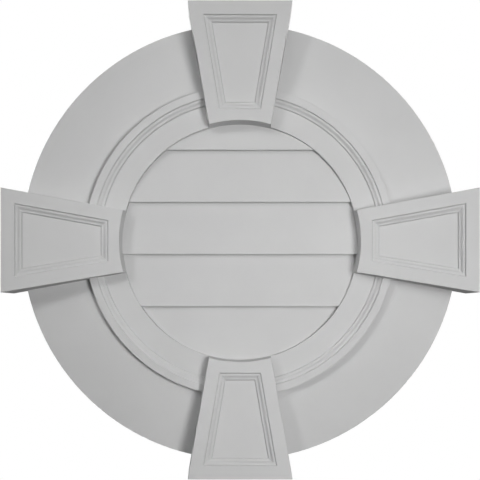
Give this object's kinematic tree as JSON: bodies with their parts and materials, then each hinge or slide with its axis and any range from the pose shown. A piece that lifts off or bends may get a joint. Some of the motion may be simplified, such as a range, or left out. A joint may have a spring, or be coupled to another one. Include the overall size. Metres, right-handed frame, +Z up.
{
  "type": "gable vent",
  "caption": "Round decorative gable vent moulded in rigid foam: flat flange, raised ring with an ogee moulding, panelled keystones and closed louvres, fixed flat on a wall.",
  "frame": {"origin": "middle of the flat back, on the wall plane", "axes": "+Z up as hung, +X to the right as seen from the front, +Y into the wall, so the face looks along -Y"},
  "size_m": [0.9144, 0.0921, 0.9144],
  "materials": {
    "primed_urethane": "smooth matte factory primer, pale neutral grey"
  },
  "bodies": {
    "root": {"gable_vent": "primed_urethane"}
  },
  "joints": []
}
